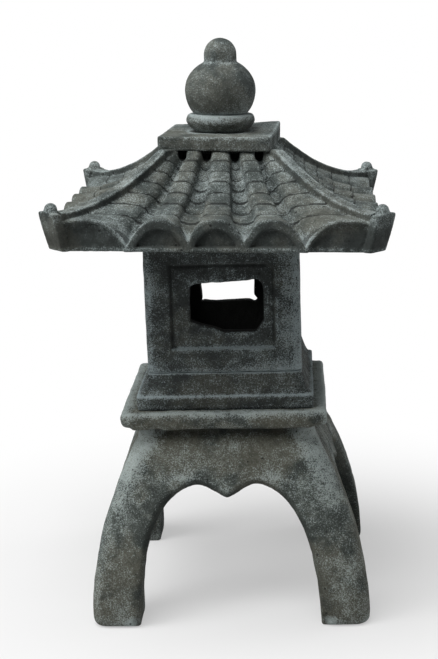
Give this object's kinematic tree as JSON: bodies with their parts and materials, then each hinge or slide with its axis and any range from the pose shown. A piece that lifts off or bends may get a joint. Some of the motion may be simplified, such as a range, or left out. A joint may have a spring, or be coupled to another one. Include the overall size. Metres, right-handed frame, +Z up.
{
  "type": "stone lantern",
  "caption": "Cast-stone garden lantern: arched four-legged stand, platform, open firebox with windows, swept tiled roof and ball finial.",
  "frame": {"origin": "ground level under the middle of the four feet", "axes": "+Z up through the finial, -Y towards the front, +X towards the viewer's right"},
  "size_m": [0.351, 0.351, 0.6101],
  "materials": {
    "stand_stone": "rough cast stone, olive-grey with a pale weathered wash",
    "firebox_stone": "rough cast stone, dark grey with a pale weathered wash",
    "roof_stone": "rough cast stone, grey with a pale weathered wash"
  },
  "bodies": {
    "stand": {"stand": "stand_stone"},
    "platform": {"platform": "stand_stone", "plinth": "firebox_stone"},
    "firebox": {"firebox": "firebox_stone"},
    "roof": {"roof": "roof_stone"},
    "finial": {"cap_slab": "roof_stone", "collar": "roof_stone", "jewel": "roof_stone"}
  },
  "joints": [
    {"name": "platform_lift", "type": "slide", "parent": "stand", "child": "platform", "axis": [0, 0, 1], "range_m": [0, 0.03]},
    {"name": "firebox_lift", "type": "slide", "parent": "platform", "child": "firebox", "axis": [0, 0, 1], "range_m": [0, 0.04]},
    {"name": "roof_lift", "type": "slide", "parent": "firebox", "child": "roof", "axis": [0, 0, 1], "range_m": [0, 0.1]},
    {"name": "finial_lift", "type": "slide", "parent": "roof", "child": "finial", "axis": [0, 0, 1], "range_m": [0, 0.05]}
  ]
}
